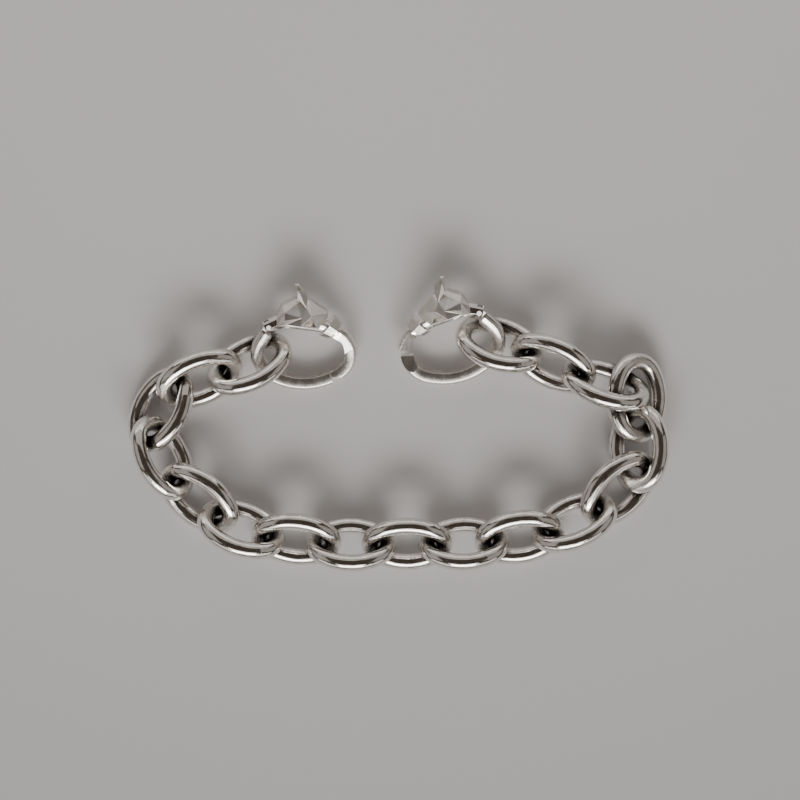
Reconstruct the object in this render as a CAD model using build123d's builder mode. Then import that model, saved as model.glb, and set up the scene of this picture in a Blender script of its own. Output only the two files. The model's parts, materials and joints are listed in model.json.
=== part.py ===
from build123d import *
import math
import os

# Chain bracelet of polished silver, lying open in a C on a flat surface.
# Sizes are in millimetres and angles in degrees. X runs from the left clasp to the right one, +Z is
# up, and the origin is at the middle of the underside of the whole bracelet.

# Links: plain ovals of round wire
link_wire = 2.75
link_inside_length = 9.25
link_inside_width = 5.5
link_end_radius = 3.3
link_play = 0.05

# Each link is pulled back from the next by this share of its inside length, up to this many times,
# until its wire clears
closing_share = 0.01
closing_steps = 30

# Clasp ring: an oval of D-shaped wire, domed outside and thinned to a flat inside. The crown is
# how far in from its outside the wire is deepest.
ring_inside_length = 13.15
ring_inside_width = 8.1
ring_end_radius = 4.0
ring_wire_width = 2.1
ring_wire_depth = 2.4
ring_crown = 0.75
ring_inside_depth = 1.7
ring_edge_rounding = 0.12

# Hinge and gate: the gate's bar meets the neck at a straight joint, and its tongue runs in a slot
# in the neck, on a pin that is set back behind the joint and towards the outside
hinge_turn = 150.0
hinge_reach = 2.0
hinge_gap = 0.28
hinge_pin_diameter = 0.80
pin_set_back = 0.90
pin_outwards = 0.25
pin_sink = 0.12
running_clearance = 0.03
side_clearance = 0.05
tongue_clearance = 0.12
tongue_thickness = 0.80
tongue_width = 1.2
tongue_radius = 0.75
tongue_in_bar = 0.8
gate_gap = 0.15
tip_facet_length = 2.5
tip_facet_slope = 22.0

# Head, ears, neck and collar
head_length = 8.3
head_height = 5.05
head_half_width = 2.7
head_back = -4.6
head_seat = 4.65
pocket_depth = 0.8
pocket_rim = 0.22
ear_length = 3.2
ear_width = 2.1
ear_lean_back = 26.0
# the neck and the collar are filed to this many sides
filed_sides = 8
neck_width = 2.3
neck_in_head = 2.1
neck_rise = 25.5
neck_offset = 0.50
collar_length = 1.45
collar_slant = 16.0
collar_start = 70.5
collar_end_across = 3.2
collar_mouth_across = 3.7
collar_mouth_outwards = 0.25
notch_length = 3.4
notch_depth = 1.2
arm_facet_turn = 38.0
arm_facet_length = 3.6
arm_level_turn = 82.5
arm_under_head = 4.3

# How the clasps lie: lean raises the head's side, tip raises the hinge end, turn is seen from above
left_clasp_lean = 19.1
left_clasp_tip = 5.6
left_clasp_turn = 0.0
left_arm_past = 7.5
right_clasp_lean = 20.8
right_clasp_tip = 5.3
right_clasp_turn = 12.5
right_arm_end = 15.0
right_gate_ajar = 4.5

# Where the last link's end lies in its ring, as shares of the ring's inside half sizes
left_link_in_ring = (-0.515, 0.255)
right_link_in_ring = (-0.395, 0.352)

# How the links lie, each row one link. way and step lead from the link before it to this one, seen
# from above, step in shares of the link's inside length. heading is the way that its long axis
# points, lean the rise of its left side, rise that of its far end, and lift how far its neighbours
# hold it off the surface, in shares of the wire.
lay = [
    # name, way, step, heading, lean, rise, lift
    ("link_01", 0, 0.00, 207.2, 41.3, 4.4, 0.00),
    ("link_02", 196.8, 0.91, 202.5, -45.4, 0, 0.00),
    ("link_03", 218, 0.87, 242, 35, 0, 0.00),
    ("link_04", 273, 0.84, 296, -46, 0, 0.11),
    ("link_05", 311, 0.95, 322, 40, 0, 0.00),
    ("link_06", 325, 0.91, 340, -44, 0, 0.15),
    ("link_07", 349, 0.97, 354, 45, 0, 0.00),
    ("link_08", 355, 0.96, 359, -45, 0, 0.00),
    ("link_09", 360, 0.98, 0, 44, 0, 0.00),
    ("link_10", 1, 0.99, 2, -45, 0, 0.00),
    ("link_11", 6, 0.98, 8, 42, 0, 0.00),
    ("link_12", 16, 0.98, 24, -46, 0, 0.04),
    ("link_13", 36, 0.97, 44, 37, 0, 0.00),
    ("link_14", 64, 0.81, 92, -34, -6, 0.09),
    ("link_15", 92, 0.87, 90, 28, 0, 0.11),
    ("link_16", 157.2, 0.606, 160, 54.8, -3.1, 0.20),
    ("link_17", 158, 0.986, 155.6, -48.5, -2.2, 0.10),
    ("link_18", 160.1, 0.985, 162.7, 41.7, -2.1, 0.02),
]

# The near side of the head, as shares of its length, height and half width. The far side mirrors it.
head_corners = {
    # name: (along, up, out)
    "nape_low": (0.01, 0.055, 0.46),
    "nape": (0.00, 0.30, 0.40),
    "poll": (0.10, 0.71, 0.35),
    "crown": (0.35, 0.95, 0.36),
    "brow": (0.64, 0.895, 0.25),
    "bridge": (0.99, 0.50, 0.43),
    "nose": (1.00, 0.38, 0.47),
    "chin": (0.82, -0.04, 0.42),
    "jaw": (0.45, 0.13, 1.00),
    "throat": (0.17, 0.175, 0.83),
    "cheek_back": (0.14, 0.545, 0.76),
    "cheek": (0.48, 0.395, 0.85),
    "temple": (0.37, 0.85, 0.71),
    "ear_foot": (0.56, 0.725, 0.70),
    "eye": (0.66, 0.48, 1.03),
    "gullet": (0.15, 0.315, 0.97),
}
head_outline = ["nape_low", "nape", "poll", "crown", "brow", "bridge", "nose", "chin", "jaw", "throat"]
head_facets = [
    ("nape_low", "nape", "cheek_back"),
    ("nape", "poll", "cheek_back"),
    ("nape_low", "cheek_back", "gullet"),
    ("nape_low", "gullet", "throat"),
    ("poll", "crown", "temple"),
    ("poll", "temple", "cheek_back"),
    ("cheek_back", "temple", "cheek"),
    ("cheek_back", "cheek", "gullet"),
    ("gullet", "cheek", "throat"),
    ("throat", "cheek", "jaw"),
    ("crown", "ear_foot", "temple"),
    ("crown", "brow", "ear_foot"),
    ("temple", "ear_foot", "cheek"),
    ("ear_foot", "eye", "cheek"),
    ("cheek", "eye", "jaw"),
    ("brow", "eye", "ear_foot"),
    ("brow", "bridge", "eye"),
    ("bridge", "nose", "eye"),
    ("nose", "chin", "eye"),
    ("eye", "chin", "jaw"),
]

# One ear, as shares of its length, its width and the head's half width
ear_corners = [
    # up, forward, out
    (0.00, 0.00, 0.76),
    (0.60, -0.30, 0.66),
    (0.42, 0.46, 0.50),
    (1.00, -0.16, 0.68),
    (0.97, 0.02, 0.80),
    (0.93, 0.20, 0.66),
    (0.90, 0.04, 0.56),
    (0.20, 0.34, 0.28),
    (0.15, -0.30, 0.36),
]

# The flats down the arm: on which side, how far outwards from the wire's middle each would reach
# the crown's height, and its slope to the inside
arm_flats = [
    # side, ridge, slope
    (1, -0.02, 17.0),
    (-1, 0.45, 34.0),
]

# The collar's section, as shares of half its size across: up through the clasp, and to the ring's inside
collar_corners = [
    # up, inwards
    (0.45, -1.08),
    (1.04, -0.29),
    (0.94, 0.53),
    (0.29, 1.04),
    (-0.29, 1.04),
    (-0.94, 0.53),
    (-1.04, -0.29),
    (-0.45, -1.08),
]

# The thumbnail notch, as shares of its length and depth, from the ring's outside at the joint
notch_corners = [
    # along, out
    (-0.32, 0.40),
    (-0.32, 0.02),
    (-0.10, -0.25),
    (0.02, -1.00),
    (0.36, -0.62),
    (0.72, 0.03),
    (0.72, 0.40),
]

link_reach = (link_inside_length + link_wire) / 2
link_half_width = (link_inside_width + link_wire) / 2
ring_reach = (ring_inside_length + ring_wire_width) / 2
ring_half_width = (ring_inside_width + ring_wire_width) / 2
across_the_wire = 3 * ring_wire_width


# An oval's centreline: four arcs that meet without a corner
def side_radius(reach, half_width, end_radius):
    return ((reach - end_radius) ** 2 + half_width**2 - end_radius**2) / (2 * (half_width - end_radius))


def end_turn(reach, half_width, end_radius):
    side = side_radius(reach, half_width, end_radius)
    return math.degrees(math.atan2(side - half_width, reach - end_radius))


def oval(plane, reach, half_width, end_radius):
    side = side_radius(reach, half_width, end_radius)
    turn = end_turn(reach, half_width, end_radius)
    with BuildLine(plane) as line:
        CenterArc((reach - end_radius, 0), end_radius, -turn, 2 * turn)
        CenterArc((0, half_width - side), side, turn, 180 - 2 * turn)
        CenterArc((end_radius - reach, 0), end_radius, 180 - turn, 2 * turn)
        CenterArc((0, side - half_width), side, 180 + turn, 180 - 2 * turn)
    return line.wire()


def on_circle(centre, radius, turn):
    angle = math.radians(turn)
    return Vector(centre[0] + radius * math.cos(angle), centre[1] + radius * math.sin(angle), 0)


# Laying the chain: each link rests on the surface, a step from the one before it, and moves closer
# where it would touch that one
def link_plane(x, y, heading, lean, rise, lift):
    along = Vector(1, 0, 0).rotate(Axis.Y, -rise).rotate(Axis.Z, heading)
    across = Vector(0, 1, 0).rotate(Axis.X, lean).rotate(Axis.Y, -rise).rotate(Axis.Z, heading)
    plane = Plane(origin=(x, y, 0), x_dir=along, z_dir=along.cross(across))
    height = link_wire / 2 - link_oval(plane).bounding_box().min.Z + lift * link_wire
    return Plane(origin=(x, y, height), x_dir=along, z_dir=along.cross(across))


def link_oval(plane):
    return oval(plane, link_reach, link_half_width, link_end_radius)


def lay_chain():
    planes = {}
    last = None
    for name, way, step, heading, lean, rise, lift in lay:
        if last is None:
            last = link_plane(0, 0, heading, lean, rise, lift)
        else:
            before = link_oval(last)
            start = last.origin
            for closer in range(closing_steps):
                reach = (step - closing_share * closer) * link_inside_length
                place = start + Vector(reach, 0, 0).rotate(Axis.Z, way)
                last = link_plane(place.X, place.Y, heading, lean, rise, lift)
                if before.distance_to(link_oval(last)) > link_wire + link_play:
                    break
        planes[name] = last
    return planes


# The clasp's own frame: the ring's centre, X away from the hinge, Y towards the head. The right
# clasp is the same piece turned over. Each rests on its lowest point, with its gate as it lies.
def clasp_plane(link_end, in_ring, side, lean, tip, turn, ajar):
    along = Vector(side, 0, -math.sin(math.radians(tip))).rotate(Axis.Z, turn)
    across = Vector(0, 1, math.tan(math.radians(lean))).rotate(Axis.Z, turn)
    in_ring_x = side * in_ring[0] * ring_inside_length / 2
    in_ring_y = in_ring[1] * ring_inside_width / 2
    centre = link_end - Vector(in_ring_x, in_ring_y, 0).rotate(Axis.Z, turn)
    flat = Plane(origin=(centre.X, centre.Y, 0), x_dir=along, z_dir=along.cross(across))
    ovals = [
        oval(place, ring_reach, ring_half_width, ring_end_radius)
        for place in (flat, gate_plane(flat, ajar))
    ]
    upright = abs(flat.z_dir.Z)
    sloping = math.sqrt(1 - upright**2)
    height = math.hypot(ring_wire_depth / 2 * upright, ring_crown * sloping)
    height += (ring_wire_width / 2 - ring_crown) * sloping
    height -= min(ring_oval.bounding_box().min.Z for ring_oval in ovals)
    return Plane(origin=(centre.X, centre.Y, height), x_dir=along, z_dir=along.cross(across))


# The clasp's frame turned about the hinge pin, as the gate swings open
def gate_plane(plane, ajar):
    return Plane(plane.location * Location(hinge_pin, (0, 0, -ajar)) * Location(hinge_pin * -1))


def moved_plane(plane, shift):
    return Plane(origin=plane.origin + shift, x_dir=plane.x_dir, z_dir=plane.z_dir)


# Points of the clasp, in its own frame
ring_side = side_radius(ring_reach, ring_half_width, ring_end_radius)
ring_turn = end_turn(ring_reach, ring_half_width, ring_end_radius)
ring_far_centre = (ring_reach - ring_end_radius, 0)
ring_near_centre = (ring_end_radius - ring_reach, 0)
ring_top_centre = (0, ring_half_width - ring_side)
ring_bottom_centre = (0, ring_side - ring_half_width)
gate_shoulder = on_circle(ring_near_centre, ring_end_radius, hinge_turn)
bar_way = Vector(0, 1, 0).rotate(Axis.Z, hinge_turn)
bar_out = Vector(1, 0, 0).rotate(Axis.Z, hinge_turn)
hinge_joint = gate_shoulder - bar_way * hinge_reach
hinge_pin = hinge_joint - bar_way * pin_set_back + bar_out * pin_outwards
neck_way = Vector(1, 0, 0).rotate(Axis.Z, neck_rise)
neck_start = hinge_joint + Vector(0, 1, 0).rotate(Axis.Z, neck_rise) * neck_offset
neck_length = (head_back + neck_in_head - neck_start.X) / neck_way.X


def head_corner(name, side):
    along, up, out = head_corners[name]
    return Vector(
        head_back + along * head_length,
        head_seat + up * head_height,
        side * out * head_half_width,
    )


def ear_corner(up, forward, out, side):
    lean = math.radians(90 + ear_lean_back)
    foot = head_corner("ear_foot", side)
    rise = Vector(math.cos(lean), math.sin(lean), 0) * up * ear_length
    front = Vector(math.sin(lean), -math.cos(lean), 0) * forward * ear_width
    place = foot + rise + front
    return Vector(place.X, place.Y, side * out * head_half_width)


# The ring's wire at the start of a path, with its flat side towards the ring's middle
def ring_section(path, plane):
    start_plane = Plane(origin=path @ 0, x_dir=plane.z_dir, z_dir=path % 0)
    inwards = 1 if start_plane.y_dir.dot(plane.origin - start_plane.origin) > 0 else -1
    inside = inwards * ring_wire_width / 2
    crown = inwards * (ring_crown - ring_wire_width / 2)
    with BuildSketch(start_plane) as section:
        with BuildLine():
            Line((-ring_inside_depth / 2, inside), (ring_inside_depth / 2, inside))
            for side in (1, -1):
                TangentArc(
                    (side * ring_wire_depth / 2, crown),
                    (side * ring_inside_depth / 2, inside),
                    tangent=(0, inwards),
                )
            start_turn = 180 if inwards > 0 else 0
            EllipticalCenterArc((0, crown), ring_wire_depth / 2, ring_crown, start_turn, arc_size=180)
        make_face()
        fillet(section.vertices().group_by(Axis.Y)[-1 if inwards > 0 else 0], ring_edge_rounding)
    return section.sketch


# A plane set in the clasp's frame by its origin, its normal and one direction that lies in it
def clasp_face(plane, origin, normal, direction):
    return Plane(
        origin=plane.from_local_coords(origin),
        x_dir=plane.from_local_coords(direction) - plane.origin,
        z_dir=plane.from_local_coords(normal) - plane.origin,
    )


def make_link(name, plane):
    path = link_oval(plane)
    with BuildPart() as link:
        with BuildSketch(Plane(origin=path @ 0, x_dir=plane.z_dir, z_dir=path % 0)):
            Circle(link_wire / 2)
        sweep(path=path)
    link.part.label = name
    return link


def make_head(plane):
    faces = []
    for side in (1, -1):
        for names in head_facets:
            faces.append(Face(Wire.make_polygon([head_corner(name, side) for name in names])))
    for first, second in zip(head_outline, head_outline[1:] + head_outline[:1]):
        rim = [
            head_corner(first, 1),
            head_corner(second, 1),
            head_corner(second, -1),
            head_corner(first, -1),
        ]
        faces.append(Face(Wire.make_polygon(rim)))
    return Solid(Shell(faces)).moved(plane.location)


# A notch for the thumbnail, across the outside of the joint between arm and gate
def thumb_notch(arm_past):
    turn = -ring_turn - arm_past
    outward = Vector(1, 0, 0).rotate(Axis.Z, turn)
    along = Vector(0, 1, 0).rotate(Axis.Z, turn)
    surface = on_circle(ring_bottom_centre, ring_side + ring_wire_width / 2, turn)
    points = []
    for run, rise in notch_corners:
        corner = surface + along * notch_length * run + outward * notch_depth * rise
        points.append((corner.X, corner.Y))
    return points


# The clasp's fixed part, one solid: arm, collar, head, ears and the neck with the hinge's slot
def make_body(name, plane, arm_end, arm_past):
    head = make_head(plane)
    level_start = Vector(*on_circle(ring_top_centre, ring_side, arm_level_turn))
    level_way = Vector(0, 1, 0).rotate(Axis.Z, arm_level_turn)
    with BuildLine(plane) as arm_line:
        Line(tuple(level_start + level_way * arm_under_head), tuple(level_start))
        CenterArc(ring_top_centre, ring_side, arm_level_turn, ring_turn - arm_level_turn)
        CenterArc(ring_far_centre, ring_end_radius, ring_turn, arm_end - ring_turn)
        if arm_past > 0:
            CenterArc(ring_bottom_centre, ring_side, -ring_turn, -arm_past)
    arm_path = arm_line.wire()
    arm_section = ring_section(arm_path, plane)
    neck_plane = clasp_face(plane, neck_start, neck_way, Vector(0, 0, 1))
    with BuildPart() as body:
        sweep(sections=arm_section, path=arm_path)
        # a long flat down each side of the arm
        for side, ridge_place, slope in arm_flats:
            outward = Vector(1, 0, 0).rotate(Axis.Z, arm_facet_turn)
            along = Vector(0, 1, 0).rotate(Axis.Z, arm_facet_turn)
            ridge = on_circle(ring_far_centre, ring_end_radius, arm_facet_turn)
            ridge += outward * ridge_place + Vector(0, 0, side * ring_wire_depth / 2)
            slope = math.radians(slope)
            normal = Vector(0, 0, side) * math.cos(slope) - outward * math.sin(slope)
            with BuildSketch(clasp_face(plane, ridge, normal, along)):
                Rectangle(arm_facet_length, across_the_wire)
            extrude(amount=ring_wire_width, mode=Mode.SUBTRACT)
        # the eight-sided neck, cut off at the joint and slotted for the gate's tongue
        with BuildSketch(neck_plane):
            RegularPolygon(neck_width / 2, filed_sides, major_radius=False)
        extrude(amount=neck_length)
        with BuildSketch(plane):
            with Locations(hinge_joint + bar_way * neck_width):
                Rectangle(across_the_wire, 2 * neck_width, rotation=hinge_turn)
        extrude(amount=ring_wire_depth, both=True, mode=Mode.SUBTRACT)
        slot_back = tongue_radius + tongue_clearance
        slot_length = slot_back + pin_set_back + hinge_gap
        with BuildSketch(plane):
            with Locations(hinge_pin + bar_way * (slot_length / 2 - slot_back)):
                Rectangle(across_the_wire, slot_length, rotation=hinge_turn)
        extrude(amount=tongue_thickness / 2 + side_clearance, both=True, mode=Mode.SUBTRACT)
        with BuildSketch(plane):
            with Locations(hinge_pin):
                Circle(hinge_pin_diameter / 2 + running_clearance)
        extrude(amount=ring_wire_depth, both=True, mode=Mode.SUBTRACT)
        # the head, with a three-cornered pocket behind the mouth on each side
        add(head)
        for side in (1, -1):
            corners = [head_corner(corner, side) for corner in ("eye", "jaw", "chin")]
            normal = (corners[1] - corners[0]).cross(corners[2] - corners[0])
            if normal.Z * side < 0:
                normal = normal * -1
            facet = clasp_face(plane, corners[0], normal, corners[1] - corners[0])
            outline = [facet.to_local_coords(plane.from_local_coords(corner)) for corner in corners]
            with BuildSketch(facet):
                with BuildLine():
                    Polyline(*[(corner.X, corner.Y) for corner in outline], close=True)
                make_face()
                offset(amount=-pocket_rim, kind=Kind.INTERSECTION, mode=Mode.REPLACE)
            extrude(amount=-pocket_depth, mode=Mode.SUBTRACT)
        # the ears
        for side in (1, -1):
            ConvexPolyhedron([plane.from_local_coords(ear_corner(*row, side)) for row in ear_corners])
        # the eight-sided collar between the mouth and the arm
        collar_end = collar_start - math.degrees(collar_length / ring_side)
        for turn, across, outwards in (
            (collar_start, collar_mouth_across, collar_mouth_outwards),
            (collar_end, collar_end_across, 0),
        ):
            place = on_circle(ring_top_centre, ring_side + outwards, turn)
            way = Vector(0, -1, 0).rotate(Axis.Z, turn - collar_slant)
            corners = [(up * across / 2, inwards * across / 2) for up, inwards in collar_corners]
            with BuildSketch(clasp_face(plane, place, way, Vector(0, 0, 1))):
                Polygon(*corners, align=None)
        loft()
        if arm_past > 0:
            with BuildSketch(plane):
                Polygon(*thumb_notch(arm_past), align=None)
            extrude(amount=ring_wire_depth, both=True, mode=Mode.SUBTRACT)
    body.part.label = name
    return body


# The gate: the ring's hinged part, with a tongue in the neck's slot. It reaches to the arm's end.
def make_gate(name, plane, arm_end, arm_past, ajar, flat_side):
    turned = gate_plane(plane, ajar)
    round_the_end = arm_past == 0
    tip_turn = arm_end - math.degrees(gate_gap / ring_end_radius)
    low_turn = 180 - 2 * ring_turn
    if not round_the_end:
        low_turn = low_turn - arm_past - math.degrees(gate_gap / ring_side)
    with BuildLine(turned) as gate_line:
        Line(tuple(hinge_joint + bar_way * hinge_gap), tuple(gate_shoulder))
        CenterArc(ring_near_centre, ring_end_radius, hinge_turn, 180 + ring_turn - hinge_turn)
        CenterArc(ring_bottom_centre, ring_side, 180 + ring_turn, low_turn)
        if round_the_end:
            CenterArc(ring_far_centre, ring_end_radius, -ring_turn, tip_turn + ring_turn)
    gate_path = gate_line.wire()
    gate_section = ring_section(gate_path, turned)
    tongue_length = pin_set_back + hinge_gap + tongue_in_bar
    with BuildPart() as gate:
        sweep(sections=gate_section, path=gate_path)
        # the tongue and the pin's hole in it
        with BuildSketch(turned):
            with Locations(hinge_pin):
                Circle(tongue_radius)
            with Locations(hinge_pin + bar_way * tongue_length / 2):
                Rectangle(tongue_width, tongue_length, rotation=hinge_turn)
        extrude(amount=tongue_thickness / 2, both=True)
        with BuildSketch(turned):
            with Locations(hinge_pin):
                Circle(hinge_pin_diameter / 2 + running_clearance)
        extrude(amount=ring_wire_depth, both=True, mode=Mode.SUBTRACT)
        # a flat that thins the tip
        if round_the_end:
            back = Vector(0, -1, 0).rotate(Axis.Z, tip_turn)
            slope = math.radians(tip_facet_slope)
            edge = on_circle(ring_far_centre, ring_end_radius, tip_turn)
            edge += back * tip_facet_length + Vector(0, 0, flat_side * ring_wire_depth / 2)
            normal = Vector(0, 0, flat_side) * math.cos(slope) - back * math.sin(slope)
            with BuildSketch(clasp_face(turned, edge, normal, normal.cross(back))):
                Rectangle(across_the_wire, 3 * tip_facet_length)
            extrude(amount=ring_wire_depth, mode=Mode.SUBTRACT)
        else:
            with BuildSketch(turned):
                Polygon(*thumb_notch(arm_past), align=None)
            extrude(amount=ring_wire_depth, both=True, mode=Mode.SUBTRACT)
    gate.part.label = name
    return gate


def make_pin(name, plane):
    neck_ridge = neck_width / 2 / math.cos(math.pi / filed_sides)
    with BuildPart() as pin:
        with BuildSketch(plane):
            with Locations(hinge_pin):
                Circle(hinge_pin_diameter / 2)
        extrude(amount=neck_ridge - pin_sink, both=True)
    pin.part.label = name
    return pin


# Every point that the bracelet reaches out to, for its middle
def outer_points(link_planes, clasp_planes):
    points = []
    for plane in link_planes:
        box = link_oval(plane).bounding_box()
        points.append(box.min - Vector(link_wire, link_wire, 0) / 2)
        points.append(box.max + Vector(link_wire, link_wire, 0) / 2)
    for plane in clasp_planes:
        for side in (1, -1):
            points += [plane.from_local_coords(ear_corner(*row, side)) for row in ear_corners]
            points += [plane.from_local_coords(head_corner(name, side)) for name in head_corners]
    return points


# The chain first, then a clasp at each of its ends, then all of it round the origin
chain = lay_chain()
first_link = chain[lay[0][0]]
last_link = chain[lay[-1][0]]
left_end = first_link.from_local_coords((-link_reach, 0, 0))
right_end = last_link.from_local_coords((link_reach, 0, 0))
left_clasp = clasp_plane(
    left_end, left_link_in_ring, 1, left_clasp_lean, left_clasp_tip, left_clasp_turn, 0
)
right_clasp = clasp_plane(
    right_end,
    right_link_in_ring,
    -1,
    right_clasp_lean,
    right_clasp_tip,
    right_clasp_turn,
    right_gate_ajar,
)
reached = outer_points(chain.values(), (left_clasp, right_clasp))
middle_x = (min(point.X for point in reached) + max(point.X for point in reached)) / 2
middle_y = (min(point.Y for point in reached) + max(point.Y for point in reached)) / 2
shift = Vector(-middle_x, -middle_y, 0)
left_clasp = moved_plane(left_clasp, shift)
right_clasp = moved_plane(right_clasp, shift)

pieces = [make_link(name, moved_plane(plane, shift)) for name, plane in chain.items()]
pieces.append(make_body("left_clasp_body", left_clasp, -ring_turn, left_arm_past))
pieces.append(make_gate("left_clasp_gate", left_clasp, -ring_turn, left_arm_past, 0, 1))
pieces.append(make_pin("left_hinge_pin", left_clasp))
pieces.append(make_body("right_clasp_body", right_clasp, right_arm_end, 0))
pieces.append(make_gate("right_clasp_gate", right_clasp, right_arm_end, 0, right_gate_ajar, -1))
pieces.append(make_pin("right_hinge_pin", right_clasp))

os.makedirs("parts", exist_ok=True)
for piece in pieces:
    export_step(piece.part, "parts/" + piece.part.label + ".step")
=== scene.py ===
import json
import math
import random

import bpy
import numpy as np
from mathutils import Matrix, Vector
from mathutils.bvhtree import BVHTree


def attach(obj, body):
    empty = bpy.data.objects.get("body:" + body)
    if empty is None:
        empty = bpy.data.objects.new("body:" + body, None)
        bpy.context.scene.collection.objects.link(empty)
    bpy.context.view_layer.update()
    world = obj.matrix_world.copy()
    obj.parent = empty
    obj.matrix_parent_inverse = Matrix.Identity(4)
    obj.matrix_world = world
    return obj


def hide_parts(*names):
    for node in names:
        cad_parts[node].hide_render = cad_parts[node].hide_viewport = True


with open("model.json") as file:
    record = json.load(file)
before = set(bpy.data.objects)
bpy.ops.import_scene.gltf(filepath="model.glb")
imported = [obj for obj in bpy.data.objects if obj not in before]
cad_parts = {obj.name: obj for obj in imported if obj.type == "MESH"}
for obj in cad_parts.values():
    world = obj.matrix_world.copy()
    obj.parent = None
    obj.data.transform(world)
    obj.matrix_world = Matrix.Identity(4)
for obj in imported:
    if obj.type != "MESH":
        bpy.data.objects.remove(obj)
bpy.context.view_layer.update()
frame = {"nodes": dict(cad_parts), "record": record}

# The surface under the bracelet: a plain sheet of pale grey card with a fine even tooth. Its colour
# is painted with the light's fall-off: a little darker towards the viewer, with painted shade at
# the edges.
surface_size = 2.4
surface_drop = 0.00003
surface_grey = (0.80, 0.788, 0.79)
surface_tooth = 900.0
surface_tooth_depth = 0.0001
surface_tooth_strength = 0.06
surface_roughness = 0.85
surface_gloss = 0.2
tone_reach = 0.065
painted_light_lift = 0.13
painted_shade_fall = 0.10


def new_material(name):
    material = bpy.data.materials.new(name)
    material.use_nodes = True
    shader = material.node_tree.nodes["Principled BSDF"]
    return material, material.node_tree.nodes, material.node_tree.links, shader


def noise_node(nodes, scale, detail=2.0, distortion=0.0):
    noise = nodes.new("ShaderNodeTexNoise")
    noise.inputs["Scale"].default_value = scale
    noise.inputs["Detail"].default_value = detail
    noise.inputs["Distortion"].default_value = distortion
    return noise


def range_node(nodes, low, high, to_low, to_high):
    spread = nodes.new("ShaderNodeMapRange")
    spread.inputs["From Min"].default_value = low
    spread.inputs["From Max"].default_value = high
    spread.inputs["To Min"].default_value = to_low
    spread.inputs["To Max"].default_value = to_high
    return spread


def math_node(nodes, operation, value=0.0):
    step = nodes.new("ShaderNodeMath")
    step.operation = operation
    step.inputs[1].default_value = value
    return step


def bump_node(nodes, strength, depth):
    bump = nodes.new("ShaderNodeBump")
    bump.inputs["Strength"].default_value = strength
    bump.inputs["Distance"].default_value = depth
    return bump


def mesh_piece(name, vertices, faces):
    mesh = bpy.data.meshes.new(name)
    mesh.from_pydata(vertices, [], faces)
    mesh.validate()
    mesh.polygons.foreach_set("use_smooth", [True] * len(mesh.polygons))
    piece = bpy.data.objects.new(name, mesh)
    bpy.context.scene.collection.objects.link(piece)
    return piece


def card_material():
    material, nodes, links, shader = new_material("grey_card")
    shader.inputs["Roughness"].default_value = surface_roughness
    shader.inputs["Specular IOR Level"].default_value = surface_gloss
    place = nodes.new("ShaderNodeTexCoord")
    split = nodes.new("ShaderNodeSeparateXYZ")
    # painted light: brighter towards the top of the picture
    lift = range_node(
        nodes, -2 * tone_reach, 2 * tone_reach, 1 - 2 * painted_light_lift, 1 + 2 * painted_light_lift
    )
    # and painted shade: darker away from its middle
    from_middle = nodes.new("ShaderNodeVectorMath")
    from_middle.operation = "LENGTH"
    fall = range_node(nodes, 0.0, 2 * tone_reach, 1.0, 1 - painted_shade_fall)
    fall.interpolation_type = "SMOOTHSTEP"
    both = math_node(nodes, "MULTIPLY")
    tone = nodes.new("ShaderNodeVectorMath")
    tone.operation = "SCALE"
    tone.inputs[0].default_value = surface_grey
    tooth = noise_node(nodes, surface_tooth)
    bump = bump_node(nodes, surface_tooth_strength, surface_tooth_depth)
    links.new(place.outputs["Object"], split.inputs["Vector"])
    links.new(split.outputs["Y"], lift.inputs["Value"])
    links.new(place.outputs["Object"], from_middle.inputs[0])
    links.new(from_middle.outputs["Value"], fall.inputs["Value"])
    links.new(lift.outputs["Result"], both.inputs[0])
    links.new(fall.outputs["Result"], both.inputs[1])
    links.new(both.outputs["Value"], tone.inputs["Scale"])
    links.new(tone.outputs["Vector"], shader.inputs["Base Color"])
    links.new(place.outputs["Object"], tooth.inputs["Vector"])
    links.new(tooth.outputs["Fac"], bump.inputs["Height"])
    links.new(bump.outputs["Normal"], shader.inputs["Normal"])
    return material


half = surface_size / 2
surface = mesh_piece(
    "surface",
    [(x * half, y * half, -surface_drop) for x, y in ((-1, -1), (1, -1), (1, 1), (-1, 1))],
    [(0, 1, 2, 3)],
)
surface.data.materials.append(card_material())

# The camera looks straight down through a long lens, and the lights are those of a small
# product table: a bright window of a softbox in front, pale cards behind and at both sides,
# and a dark gap overhead that the polished wire mirrors as a brown band.
millimetre = 0.001
view_scale = 6.2 / millimetre  # dots of the picture to a metre
picture_width = 800
view_middle = (0.00040, 0.00378)
middle_height = 0.004
lens_length = 167.0
sensor_width = 36.0
nearest_seen = 0.01

camera_data = bpy.data.cameras.new("camera")
camera_data.lens = lens_length
camera_data.sensor_width = sensor_width
camera_data.clip_start = nearest_seen
camera = bpy.data.objects.new("camera", camera_data)
camera_distance = picture_width / view_scale * lens_length / sensor_width
camera.location = (view_middle[0], view_middle[1], middle_height + camera_distance)
bpy.context.scene.collection.objects.link(camera)
bpy.context.scene.camera = camera

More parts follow.
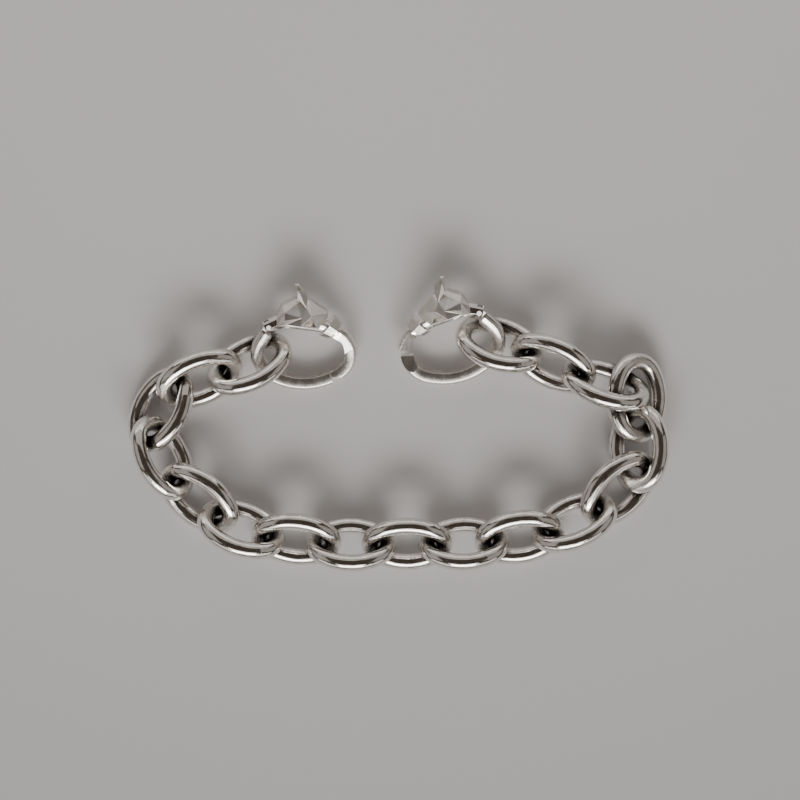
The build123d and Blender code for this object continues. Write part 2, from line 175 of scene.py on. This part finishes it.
# Each light is a flat card. azimuth is where it stands round the bracelet, 0 being the viewer's
# right and 90 the top of the picture, and elevation its height over the surface.
lights = [
    # name, azimuth, elevation, distance, width, height, radiance, colour
    ("softbox", 270, 37, 1.10, 0.80, 0.30, 9.0, (1.0, 0.985, 0.965)),
    ("softbox_hood", 270, 51, 1.10, 1.00, 0.26, 1.5, (1.0, 0.985, 0.965)),
    ("front_card", 270, 25, 0.90, 2.60, 0.42, 1.0, (1.0, 0.97, 0.94)),
    ("back_card", 90, 42, 0.60, 1.00, 0.36, 0.42, (1.0, 0.955, 0.91)),
    ("back_window", 95, 17, 0.60, 1.30, 0.27, 0.90, (1.0, 0.965, 0.93)),
    ("left_card", 180, 35, 0.60, 0.50, 0.46, 0.32, (1.0, 0.955, 0.91)),
    ("right_card", 0, 35, 0.60, 0.50, 0.46, 0.28, (1.0, 0.955, 0.91)),
]
gap_colour = (0.052, 0.043, 0.035, 1.0)


def hang_light(name, azimuth, elevation, distance, width, height, radiance, colour):
    light = bpy.data.lights.new(name, "AREA")
    light.shape = "RECTANGLE"
    light.size = width
    light.size_y = height
    light.color = colour
    # an area light of this many watts looks as bright as the radiance says
    light.energy = radiance * width * height * math.pi
    holder = bpy.data.objects.new(name, light)
    turn, rise = math.radians(azimuth), math.radians(elevation)
    level = math.cos(rise)
    towards = Vector((math.cos(turn) * level, math.sin(turn) * level, math.sin(rise)))
    holder.location = towards * distance
    holder.rotation_euler = towards.to_track_quat("Z", "Y").to_euler()
    bpy.context.scene.collection.objects.link(holder)


for light in lights:
    hang_light(*light)

world = bpy.data.worlds.new("overhead_gap")
world.use_nodes = True
gap = world.node_tree.nodes["Background"]
gap.inputs["Color"].default_value = gap_colour
gap.inputs["Strength"].default_value = 1.0
bpy.context.scene.world = world

# The eighteen links are ovals of round drawn silver wire, each bent, hooked through its neighbours,
# soldered shut at one end and tumbled to a mirror. Years of wear left fine scratches and a duller
# skin where the ends rub, and one of them keeps a lump of solder that was never filed away.
link_names = [f"link_{number:02d}" for number in range(1, 19)]
link_end_radius = 0.0033
rings_round_link = 256
sides_round_wire = 48
wear_seed = 18
# the drawn wire isn't quite round: a few slow waves run along it and round it
wire_waves = 7
wire_waver = 0.006
# wear thins the inside of each end, from this share of the half length on
worn_from = 0.80
wear_depth = 0.016
# the seam is a low ridge round the wire, near one end, a little aslant
seam_places = (0.04, 0.46, 0.54, 0.96)
seam_drift = 0.02
seam_lean = 0.4
seam_height = 0.008
seam_width = 0.00022
solder_rub = 1.2
solder_lumps = [
    # link, share of the way round it, turn round the wire, length, width and height
    ("link_04", 0.515, 75, 0.0030, 0.0020, 0.00020),
    ("link_04", 0.455, 50, 0.0016, 0.0012, 0.00014),
]
# tarnish and painted shade darken the wire where a neighbour's wire lies close
tarnish_and_shade_near = 0.0005
tarnish_and_shade_far = 0.0019


def piece_frame(name):
    """The node's middle, its long, middle and short axes, and its points along them. They are
    worked out from the volume that its mesh holds."""
    mesh = frame["nodes"][name].data
    mesh.calc_loop_triangles()
    points = np.array([vertex.co for vertex in mesh.vertices])
    corners = points[[triangle.vertices[:] for triangle in mesh.loop_triangles]]
    base = points.mean(axis=0)
    corners = corners - base
    volumes = np.einsum("ij,ij->i", corners[:, 0], np.cross(corners[:, 1], corners[:, 2])) / 6
    sums = corners.sum(axis=1)
    middle = (volumes[:, None] * sums / 4).sum(axis=0) / volumes.sum()
    spread = np.einsum("i,ij,ik->jk", volumes, sums, sums)
    spread += np.einsum("i,inj,ink->jk", volumes, corners, corners)
    spread = spread / (20 * volumes.sum()) - np.outer(middle, middle)
    axes = np.linalg.eigh(spread)[1].T[::-1]
    if axes[2][2] < 0:
        axes[2] = -axes[2]
    if axes[0][0] < 0:
        axes[0] = -axes[0]
    axes[1] = np.cross(axes[2], axes[0])
    return base + middle, axes, (points - base - middle) @ axes.T


def oval_point(share, reach, half_width, end_radius):
    """The point at a share of the way round an oval of four arcs, the way out of the oval there,
    and the length of the way round."""
    end_middle = reach - end_radius
    side_radius = end_middle**2 + half_width**2 - end_radius**2
    side_radius /= 2 * (half_width - end_radius)
    side_middle = side_radius - half_width
    turn = math.atan2(side_middle, end_middle)
    arcs = [
        ((end_middle, 0.0), end_radius, -turn, 2 * turn),
        ((0.0, -side_middle), side_radius, turn, math.pi - 2 * turn),
        ((-end_middle, 0.0), end_radius, math.pi - turn, 2 * turn),
        ((0.0, side_middle), side_radius, math.pi + turn, math.pi - 2 * turn),
    ]
    lengths = [radius * sweep for centre, radius, start, sweep in arcs]
    run = share * sum(lengths)
    for (centre, radius, start, sweep), length in zip(arcs, lengths):
        if run <= length:
            break
        run -= length
    angle = start + sweep * min(run / length, 1.0)
    outward = (math.cos(angle), math.sin(angle))
    return (centre[0] + radius * outward[0], centre[1] + radius * outward[1]), outward, sum(lengths)


def outside_of(name):
    """The node's surface, to be asked for the nearest place on it."""
    node = frame["nodes"][name]
    points = [node.matrix_world @ vertex.co for vertex in node.data.vertices]
    return BVHTree.FromPolygons(points, [tuple(face.vertices) for face in node.data.polygons])


chain_order = ["left_clasp_gate", *link_names, "right_clasp_gate"]
link_shapes = {name: outside_of(name) for name in chain_order}


def note(mesh, name, kind, domain, values):
    """Writes a value, or three in a row, for each point or face of the mesh."""
    attribute = mesh.attributes.new(name, kind, domain)
    attribute.data.foreach_set("vector" if kind == "FLOAT_VECTOR" else "value", values)


def lump_here(along, around):
    """How high a knobbly lump of solder stands, as a share, so far along and round from its top."""
    knobs = 1 + 0.35 * math.sin(3.1 * along + 2.3 * around)
    knobs += 0.25 * math.sin(5.3 * around - 2.0 * along)
    return math.exp(-(along**2 + around**2)) * knobs


# painted shade, with tarnish: how near each point lies to a neighbour's wire, from 0 to 1
def tarnish_and_shade_on(vertices, neighbours):
    tarnish_and_painted_shade = []
    for vertex in vertices:
        found = [shape.find_nearest(vertex, tarnish_and_shade_far)[3] for shape in neighbours]
        away = min([distance for distance in found if distance is not None], default=tarnish_and_shade_far)
        tarnish_and_painted_shade.append(min(1.0, (tarnish_and_shade_far - away) / (tarnish_and_shade_far - tarnish_and_shade_near)))
    return tarnish_and_painted_shade


def make_link(name, draw):
    middle, axes, inside = piece_frame(name)
    at = chain_order.index(name)
    neighbours = [link_shapes[other] for other in (chain_order[at - 1], chain_order[at + 1])]
    length, width, wire = inside.max(axis=0) - inside.min(axis=0)
    reach = (length - wire) / 2
    half_width = (width - wire) / 2
    waves = [
        (draw.randint(1, 9), draw.randint(0, 3), draw.uniform(0, math.tau))
        for wave in range(wire_waves)
    ]
    seam_share = draw.choice(seam_places) + draw.uniform(-seam_drift, seam_drift)
    seam_slant = draw.uniform(-seam_lean, seam_lean)
    lumps = [lump[1:] for lump in solder_lumps if lump[0] == name]
    vertices = []
    rows = []
    rub = []
    for ring in range(rings_round_link):
        share = ring / rings_round_link
        (x, y), outward, way_length = oval_point(share, reach, half_width, link_end_radius)
        worn = max(0.0, (abs(x) / reach - worn_from) / (1 - worn_from)) ** 2
        for side in range(sides_round_wire):
            angle = math.tau * side / sides_round_wire
            waver = sum(
                math.sin(math.tau * along * share + around * angle + phase)
                for along, around, phase in waves
            )
            radius = wire / 2 * (1 - wire_waver * (1 + waver / len(waves)) / 2)
            radius *= 1 - wear_depth * worn * max(0.0, -math.cos(angle)) ** 2
            from_seam = (share - seam_share) * way_length
            from_seam += seam_slant * math.cos(angle) * wire / 4
            radius *= 1 + seam_height * math.exp(-((from_seam / seam_width) ** 2)) - seam_height
            solder = 0.0
            for lump_share, turn, lump_length, lump_width, height in lumps:
                along = (share - lump_share) * way_length / (lump_length / 2)
                around = math.remainder(angle - math.radians(turn), math.tau) * wire / lump_width
                lump = lump_here(along, around)
                solder = max(solder, lump)
                # a link with lumps is a little thinner elsewhere, so they stand out less from it
                radius += height * lump - height / 6
            out = radius * math.cos(angle)
            place = middle + axes[0] * (x + outward[0] * out) + axes[1] * (y + outward[1] * out)
            vertices.append(tuple(place + axes[2] * radius * math.sin(angle)))
            rows += (math.cos(angle), math.sin(angle), share * way_length / wire * 2)
            rub.append(min(1.0, worn + solder_rub * solder))
    faces = []
    for ring in range(rings_round_link):
        for side in range(sides_round_wire):
            here = ring * sides_round_wire
            there = (ring + 1) % rings_round_link * sides_round_wire
            beside = (side + 1) % sides_round_wire
            faces.append((here + side, there + side, there + beside, here + beside))
    piece = mesh_piece(name + "_wire", vertices, faces)
    note(piece.data, "wire_place", "FLOAT_VECTOR", "POINT", rows)
    note(piece.data, "rubbed", "FLOAT", "POINT", rub)
    # painted shade and tarnish where the neighbouring links lie close
    note(piece.data, "tarnish_and_shade_amount", "FLOAT", "POINT", tarnish_and_shade_on(vertices, neighbours))
    return piece


def noted_node(nodes, name):
    noted = nodes.new("ShaderNodeAttribute")
    noted.attribute_name = name
    return noted


def tint_node(nodes, dull, bright):
    """Silver between a dull and a bright tint, over the middle part of a noise."""
    tint = nodes.new("ShaderNodeValToRGB")
    tint.color_ramp.elements[0].position = 0.3
    tint.color_ramp.elements[0].color = dull
    tint.color_ramp.elements[1].position = 0.7
    tint.color_ramp.elements[1].color = bright
    return tint


def over_colour(nodes, colour):
    """Lays one colour over another by a share."""
    over = nodes.new("ShaderNodeMix")
    over.data_type = "RGBA"
    over.inputs["B"].default_value = colour
    return over


def polished_silver():
    """Mirror-polished silver: draw lines along the wire, hairline scratches, a duller, pitted skin
    with grey in its hollows where the links rub, and tarnish with painted shade where they lie
    close."""
    material, nodes, links, shader = new_material("polished_silver")
    shader.inputs["Metallic"].default_value = 1.0
    place = noted_node(nodes, "wire_place")
    rubbed = noted_node(nodes, "rubbed")
    tarnish_and_shade_amount = noted_node(nodes, "tarnish_and_shade_amount")
    # the draw lines, long and thin along the wire
    stretch = nodes.new("ShaderNodeMapping")
    stretch.inputs["Scale"].default_value = (1.0, 1.0, 0.05)
    lines = noise_node(nodes, 11.0, 4.0)
    # hairline scratches: thin bent lines, wherever a slow noise crosses its middle value
    scratches = noise_node(nodes, 2.6, 1.0, 1.4)
    from_line = math_node(nodes, "SUBTRACT", 0.5)
    line_away = math_node(nodes, "ABSOLUTE")
    scratch = range_node(nodes, 0.0, 0.008, 1.0, 0.0)
    # the pitting of the rubbed places
    pits = noise_node(nodes, 7.0, 6.0)
    pitting = math_node(nodes, "MULTIPLY")
    # a slow bloom over all of it
    bloom = noise_node(nodes, 1.3, 6.0)
    tint = tint_node(nodes, (0.78, 0.745, 0.70, 1), (0.93, 0.905, 0.87, 1))
    dirt = over_colour(nodes, (0.34, 0.30, 0.25, 1))
    dirt_share = range_node(nodes, 0.52, 0.72, 0.0, 0.75)
    dirt_here = math_node(nodes, "MULTIPLY")
    # the tarnish with painted shade between the links, black-brown, with a cloudy edge
    tarnish_and_painted_shade = over_colour(nodes, (0.050, 0.040, 0.030, 1))
    cloudy = range_node(nodes, 0.3, 0.7, -0.25, 0.25)
    tarnish_and_shade_here = math_node(nodes, "ADD")
    tarnish_and_shade_share = range_node(nodes, 0.25, 0.85, 0.0, 0.92)
    gloss = range_node(nodes, 0.35, 0.75, 0.05, 0.13)
    dull = math_node(nodes, "MULTIPLY_ADD", 0.16)
    line_bump = bump_node(nodes, 0.34, 0.00002)
    scratch_bump = bump_node(nodes, 0.30, 0.00001)
    scratch_bump.invert = True
    pit_bump = bump_node(nodes, 0.9, 0.00006)
    for noise in (scratches, pits, bloom):
        links.new(place.outputs["Vector"], noise.inputs["Vector"])
    links.new(place.outputs["Vector"], stretch.inputs["Vector"])
    links.new(stretch.outputs["Vector"], lines.inputs["Vector"])
    links.new(scratches.outputs["Fac"], from_line.inputs[0])
    links.new(from_line.outputs["Value"], line_away.inputs[0])
    links.new(line_away.outputs["Value"], scratch.inputs["Value"])
    links.new(pits.outputs["Fac"], pitting.inputs[0])
    links.new(rubbed.outputs["Fac"], pitting.inputs[1])
    links.new(bloom.outputs["Fac"], tint.inputs["Fac"])
    links.new(pits.outputs["Fac"], dirt_share.inputs["Value"])
    links.new(dirt_share.outputs["Result"], dirt_here.inputs[0])
    links.new(rubbed.outputs["Fac"], dirt_here.inputs[1])
    links.new(tint.outputs["Color"], dirt.inputs["A"])
    links.new(dirt_here.outputs["Value"], dirt.inputs["Factor"])
    links.new(pits.outputs["Fac"], cloudy.inputs["Value"])
    links.new(tarnish_and_shade_amount.outputs["Fac"], tarnish_and_shade_here.inputs[0])
    links.new(cloudy.outputs["Result"], tarnish_and_shade_here.inputs[1])
    links.new(tarnish_and_shade_here.outputs["Value"], tarnish_and_shade_share.inputs["Value"])
    links.new(tarnish_and_shade_share.outputs["Result"], tarnish_and_painted_shade.inputs["Factor"])
    links.new(dirt.outputs["Result"], tarnish_and_painted_shade.inputs["A"])
    links.new(tarnish_and_painted_shade.outputs["Result"], shader.inputs["Base Color"])
    links.new(bloom.outputs["Fac"], gloss.inputs["Value"])
    links.new(rubbed.outputs["Fac"], dull.inputs[0])
    links.new(gloss.outputs["Result"], dull.inputs[2])
    links.new(dull.outputs["Value"], shader.inputs["Roughness"])
    links.new(lines.outputs["Fac"], line_bump.inputs["Height"])
    links.new(scratch.outputs["Result"], scratch_bump.inputs["Height"])
    links.new(line_bump.outputs["Normal"], scratch_bump.inputs["Normal"])
    links.new(pitting.outputs["Value"], pit_bump.inputs["Height"])
    links.new(scratch_bump.outputs["Normal"], pit_bump.inputs["Normal"])
    links.new(pit_bump.outputs["Normal"], shader.inputs["Normal"])
    return material


link_silver = polished_silver()
draw = random.Random(wear_seed)
for name in link_names:
    link = make_link(name, draw)
    link.data.materials.append(link_silver)
    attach(link, "chain_with_clasps")
    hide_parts(name)

# The two clasps' fixed parts are cast and filed silver: a faceted head with its ears, the neck, the
# collar and the arm in one piece. The head's facets are left satin, the neck and the collar are
# burnished, and the arm is brushed across. The polishing cloth has eased every edge a little.
eased_edge = 0.00006
# lengths from the middle of the ring, along it from the hinge and up towards the head
pin_place = (-0.0058556, 0.0046365)
head_start = -0.0046
head_end = 0.0037
head_foot = 0.00465
head_clearance = 0.0049
neck_foot = 0.0028
collar_end = 0.0055
ring_run_radius = 0.006
satin, brushed, burnished = 1.0, 0.5, 0.0


def clasp_frame(side):
    """The middle of the clasp's ring and its axes: along the ring from the hinge, up towards the
    head, and through the ring."""
    record = frame["record"]
    joints = record["behaviour"]["joints"]
    ring = next(mount for mount in record["mounts"] if mount["name"] == side + "_clasp_ring")
    hinge = next(joint for joint in joints if joint["name"] == side + "_gate_hinge")
    middle = Vector(ring["pos_m"])
    through = Vector(ring["axis"]).normalized()
    to_pin = (Vector(hinge["pos_m"]) - middle).normalized()
    turn = -math.atan2(pin_place[1], pin_place[0])
    along = to_pin * math.cos(turn) + through.cross(to_pin) * math.sin(turn)
    return middle, Matrix((along, through.cross(along), through))


def dressed_copy(name, side):
    """A copy of the node that also knows where each point lies on the ring, for the brushing, and
    how each face is finished."""
    copy = frame["nodes"][name].data.copy()
    copy.name = name + "_silver"
    copy.materials.clear()
    piece = bpy.data.objects.new(name + "_silver", copy)
    bpy.context.scene.collection.objects.link(piece)
    middle, axes = clasp_frame(side)
    place = []
    for vertex in copy.vertices:
        x, y, z = axes @ (vertex.co - middle)
        place += [math.atan2(y, x) * ring_run_radius, math.hypot(x, y), z]
    note(copy, "ring_place", "FLOAT_VECTOR", "POINT", place)
    finishes = []
    for face in copy.polygons:
        x, y, z = axes @ (face.center - middle)
        over_head = y > head_foot and head_start < x < head_end
        if over_head and math.hypot(x, y) > head_clearance:
            finishes.append(satin)
        elif y > neck_foot and x < collar_end:
            finishes.append(burnished)
        else:
            finishes.append(brushed)
    note(copy, "finish", "FLOAT", "FACE", finishes)
    return piece


def clasp_silver():
    """Cast silver, finished face by face: satin facets, a brushed ring and a burnished neck."""
    material, nodes, links, shader = new_material("clasp_silver")
    ring_place = noted_node(nodes, "ring_place")
    finish = noted_node(nodes, "finish")
    place = nodes.new("ShaderNodeTexCoord")
    # brush lines run across the wire and up the facets
    across = nodes.new("ShaderNodeMapping")
    across.inputs["Scale"].default_value = (1.0, 0.07, 0.07)
    brushing = noise_node(nodes, 9000.0, 3.0)
    cloud = noise_node(nodes, 620.0, 4.0)
    dimples = noise_node(nodes, 1100.0, 3.0)
    tint = tint_node(nodes, (0.80, 0.76, 0.71, 1), (0.95, 0.92, 0.88, 1))
    # how rough each finish is
    roughness = nodes.new("ShaderNodeFloatCurve")
    points = roughness.mapping.curves[0].points
    points[0].location = (burnished, 0.13)
    points[1].location = (satin, 0.31)
    points.new(brushed, 0.25)
    roughness.mapping.update()
    # the blasted skin of the satin facets scatters a little of the light evenly
    skin = range_node(nodes, burnished, satin, 1.0, 0.90)
    uneven = range_node(nodes, 0.3, 0.7, -0.03, 0.05)
    rough_here = math_node(nodes, "ADD")
    brush_bump = bump_node(nodes, 0.35, 0.00001)
    hand_bump = bump_node(nodes, 0.5, 0.00003)
    eased = nodes.new("ShaderNodeBevel")
    eased.samples = 6
    eased.inputs["Radius"].default_value = eased_edge
    links.new(eased.outputs["Normal"], brush_bump.inputs["Normal"])
    links.new(ring_place.outputs["Vector"], across.inputs["Vector"])
    links.new(across.outputs["Vector"], brushing.inputs["Vector"])
    links.new(place.outputs["Object"], cloud.inputs["Vector"])
    links.new(place.outputs["Object"], dimples.inputs["Vector"])
    links.new(cloud.outputs["Fac"], tint.inputs["Fac"])
    links.new(tint.outputs["Color"], shader.inputs["Base Color"])
    links.new(finish.outputs["Fac"], roughness.inputs["Value"])
    links.new(finish.outputs["Fac"], skin.inputs["Value"])
    links.new(skin.outputs["Result"], shader.inputs["Metallic"])
    links.new(cloud.outputs["Fac"], uneven.inputs["Value"])
    links.new(roughness.outputs["Value"], rough_here.inputs[0])
    links.new(uneven.outputs["Result"], rough_here.inputs[1])
    links.new(rough_here.outputs["Value"], shader.inputs["Roughness"])
    links.new(brushing.outputs["Fac"], brush_bump.inputs["Height"])
    links.new(dimples.outputs["Fac"], hand_bump.inputs["Height"])
    links.new(brush_bump.outputs["Normal"], hand_bump.inputs["Normal"])
    links.new(hand_bump.outputs["Normal"], shader.inputs["Normal"])
    return material


silver = clasp_silver()
for side in ("left", "right"):
    body = dressed_copy(side + "_clasp_body", side)
    body.data.materials.append(silver)
    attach(body, "chain_with_clasps")
    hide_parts(side + "_clasp_body")

# Each gate is the hinged half of its ring, bent from the same D-shaped wire as the arm and brushed
# across like it. It turns on its own body of the frame.
for side in ("left", "right"):
    gate = dressed_copy(side + "_clasp_gate", side)
    gate.data.materials.append(silver)
    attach(gate, side + "_gate")
    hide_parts(side + "_clasp_gate")

# The hinge pins are short lengths of silver wire, pushed through the neck and filed flush.
for side in ("left", "right"):
    pin = dressed_copy(side + "_hinge_pin", side)
    pin.data.materials.append(silver)
    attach(pin, "chain_with_clasps")
    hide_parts(side + "_hinge_pin")
